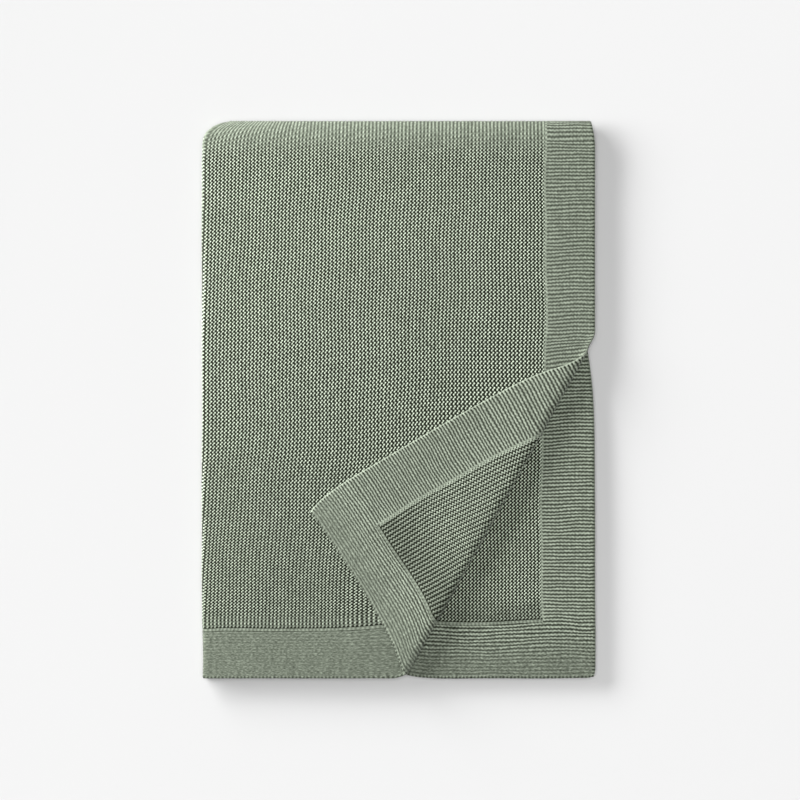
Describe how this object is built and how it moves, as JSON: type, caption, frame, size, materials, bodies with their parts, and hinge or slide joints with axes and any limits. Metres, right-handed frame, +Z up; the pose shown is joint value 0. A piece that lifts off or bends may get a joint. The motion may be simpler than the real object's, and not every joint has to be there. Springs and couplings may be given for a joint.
{
  "type": "knit throw blanket",
  "caption": "Chunky sage green knit throw with a ribbed border, folded flat in quarters, one corner of the top layer turned back to show the reverse.",
  "frame": {"origin": "centre of the footprint of the folded throw, on the surface that it lies on", "axes": "+X across the folded throw, away from the lengthwise fold; +Y along it, towards the round crosswise fold; +Z up, out of the top layer"},
  "size_m": [0.6367, 0.8993, 0.036],
  "materials": {
    "sage_knit": "matte chunky cotton knit in sage green"
  },
  "bodies": {
    "root": {"throw": "sage_knit"}
  },
  "joints": []
}
